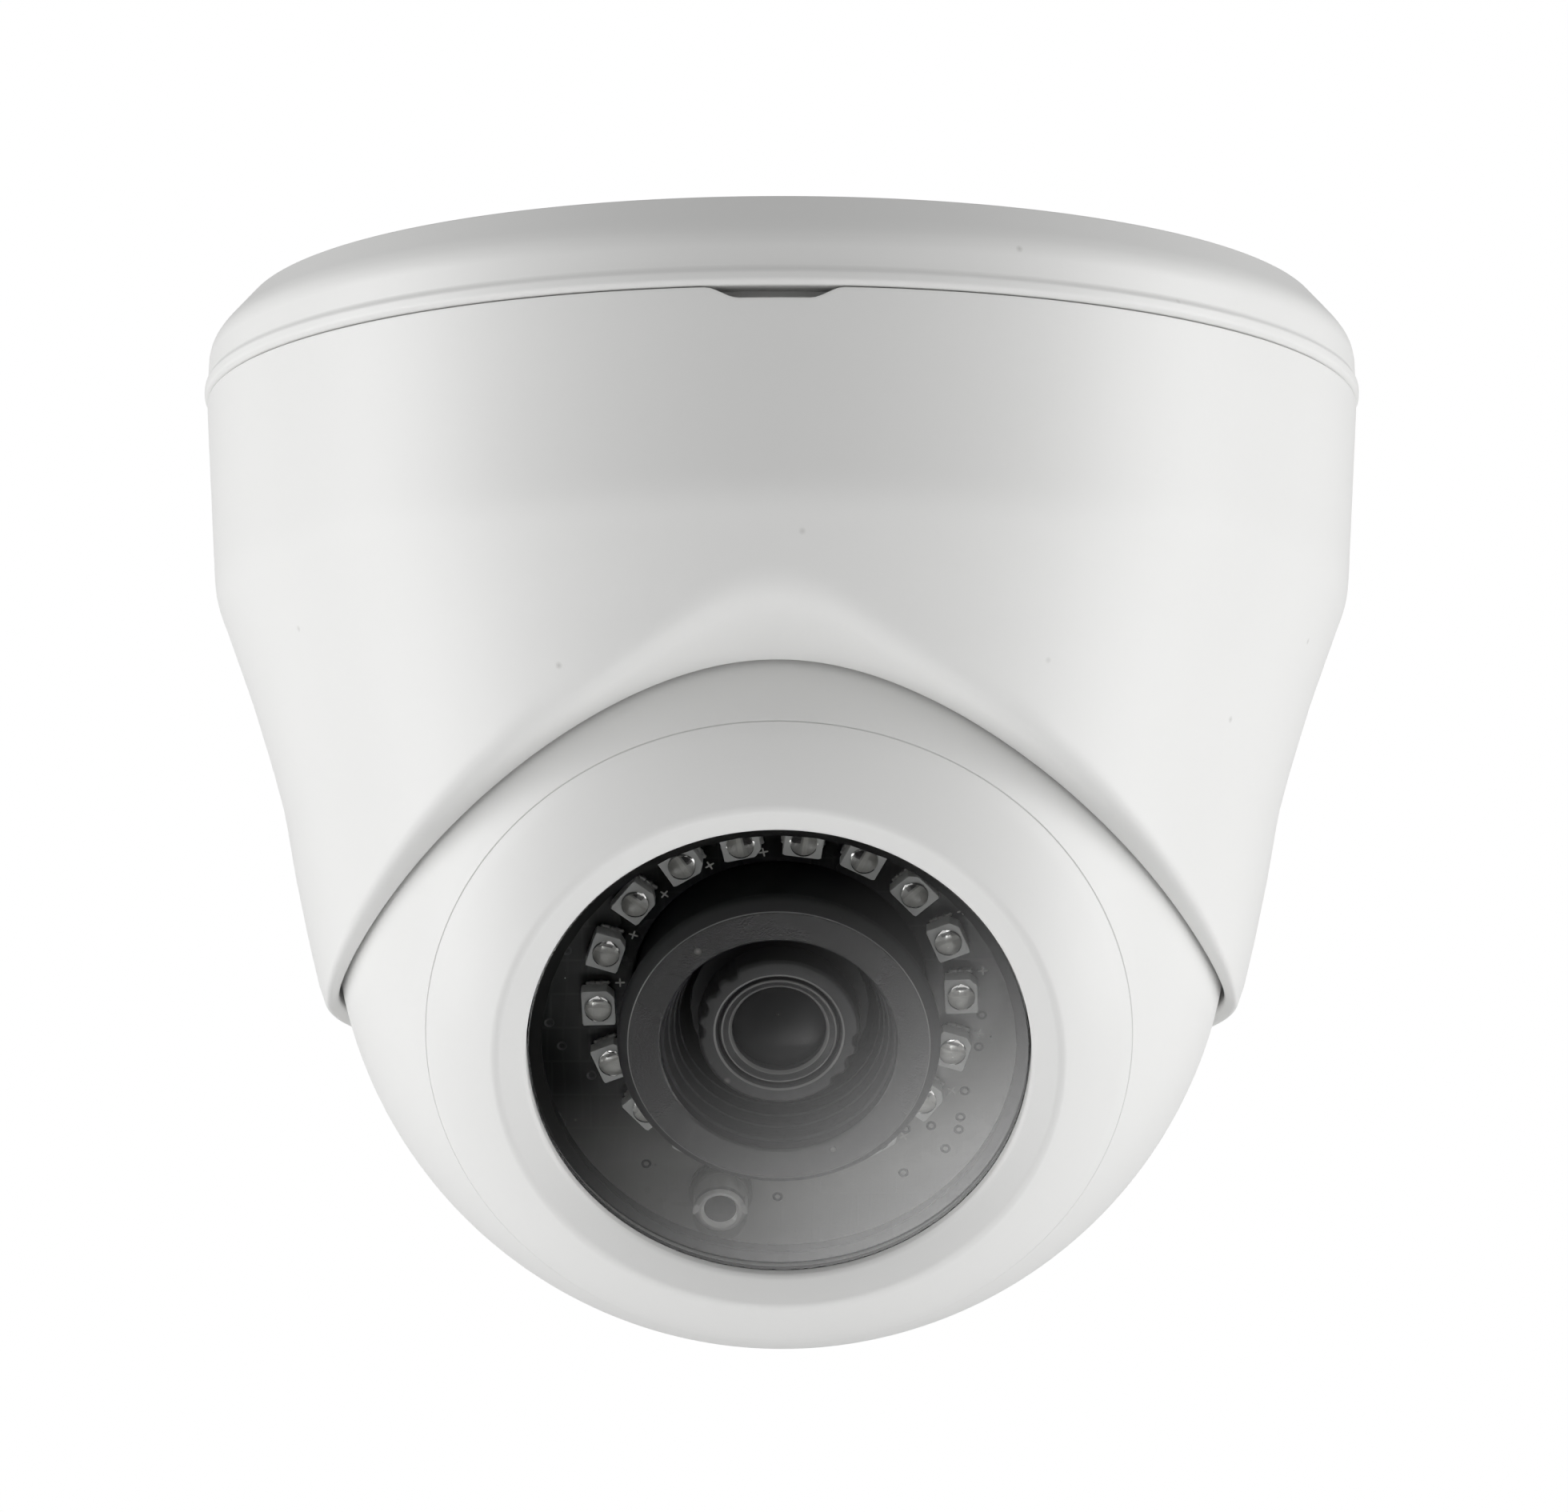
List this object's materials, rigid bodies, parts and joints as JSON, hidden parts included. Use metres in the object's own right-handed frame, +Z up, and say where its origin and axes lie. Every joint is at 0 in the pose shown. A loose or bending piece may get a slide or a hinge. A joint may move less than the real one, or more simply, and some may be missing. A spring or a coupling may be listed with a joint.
{
  "type": "security camera",
  "caption": "Ceiling-mounted eyeball dome camera: round base, turning cover and tilting ball with an infrared LED ring behind a flat window.",
  "frame": {"origin": "centre of the base's ceiling face", "axes": "+Z up through the ceiling face, which the body hangs from; the camera looks towards -Y and 37 degrees down; +X to the right in a front view"},
  "size_m": [0.106, 0.106, 0.0958],
  "materials": {
    "white_plastic": "satin moulded white",
    "black_plastic": "fine-textured black",
    "rubber": "matte black",
    "screw_steel": "zinc-plated",
    "window": "clear, dark from the front",
    "board_black": "black solder mask",
    "led_package": "light moulded package with a clear lens",
    "photocell_lens": "clear",
    "lens_metal": "black anodised",
    "lens_glass": "coated",
    "filter_red": "coated, reddish",
    "filter_clear": "clear",
    "coil_copper": "enamelled winding",
    "board_green": "green solder mask",
    "chip_black": "moulded package",
    "connector_cream": "moulded nylon"
  },
  "bodies": {
    "base": {"base_plate": "white_plastic", "cable_grommet": "rubber"},
    "cover": {"cover_shell": "white_plastic", "ball_clamp_ring": "black_plastic", "clamp_ring_screw_1": "screw_steel", "clamp_ring_screw_2": "screw_steel", "clamp_ring_screw_3": "screw_steel"},
    "ball": {"ball_rear_shell": "white_plastic", "front_bezel": "white_plastic", "window_glass": "window", "window_gasket": "rubber", "lens_hood": "black_plastic", "ir_led_board": "board_black", "ir_led_01": "led_package", "ir_led_02": "led_package", "ir_led_03": "led_package", "ir_led_04": "led_package", "ir_led_05": "led_package", "ir_led_06": "led_package", "ir_led_07": "led_package", "ir_led_08": "led_package", "ir_led_09": "led_package", "ir_led_10": "led_package", "ir_led_11": "led_package", "ir_led_12": "led_package", "ir_led_13": "led_package", "ir_led_14": "led_package", "ir_led_15": "led_package", "ir_led_16": "led_package", "ir_led_17": "led_package", "ir_led_18": "led_package", "photocell": "photocell_lens", "led_board_screw_1": "screw_steel", "led_board_screw_2": "screw_steel", "led_board_screw_3": "screw_steel", "led_board_screw_4": "screw_steel", "ball_grommet": "rubber", "lens_mount": "black_plastic", "filter_coil": "coil_copper", "lens_mount_screw_1": "screw_steel", "lens_mount_screw_2": "screw_steel", "module_bracket": "black_plastic", "bracket_screw_1": "screw_steel", "bracket_screw_2": "screw_steel", "bracket_screw_3": "screw_steel", "main_board": "board_green", "main_board_screw_1": "screw_steel", "main_board_screw_2": "screw_steel", "main_board_screw_3": "screw_steel", "main_board_screw_4": "screw_steel", "image_sensor": "chip_black", "image_processor": "chip_black", "board_connector": "connector_cream"},
    "lens": {"lens_barrel": "lens_metal", "lens_front_ring": "lens_metal", "lens_front_glass": "lens_glass"},
    "day_night_filter": {"filter_slider": "black_plastic", "infrared_cut_filter": "filter_red", "clear_filter": "filter_clear"}
  },
  "joints": [
    {"name": "pan", "type": "hinge", "parent": "base", "child": "cover", "pos_m": [0, 0, 0], "axis": [0, 0, 1], "range_deg": [-177.5, 177.5]},
    {"name": "tilt", "type": "hinge", "parent": "cover", "child": "ball", "pos_m": [0, 0, -0.0548], "axis": [1, 0, 0], "range_deg": [-22, 53]},
    {"name": "focus", "type": "hinge", "parent": "ball", "child": "lens", "pos_m": [0, -0.01358, -0.06503], "axis": [0, -0.7986, -0.6018], "range_deg": [-180, 180]},
    {"name": "filter_slide", "type": "slide", "parent": "ball", "child": "day_night_filter", "axis": [1, 0, 0], "range_m": [-0.007, 0]}
  ]
}
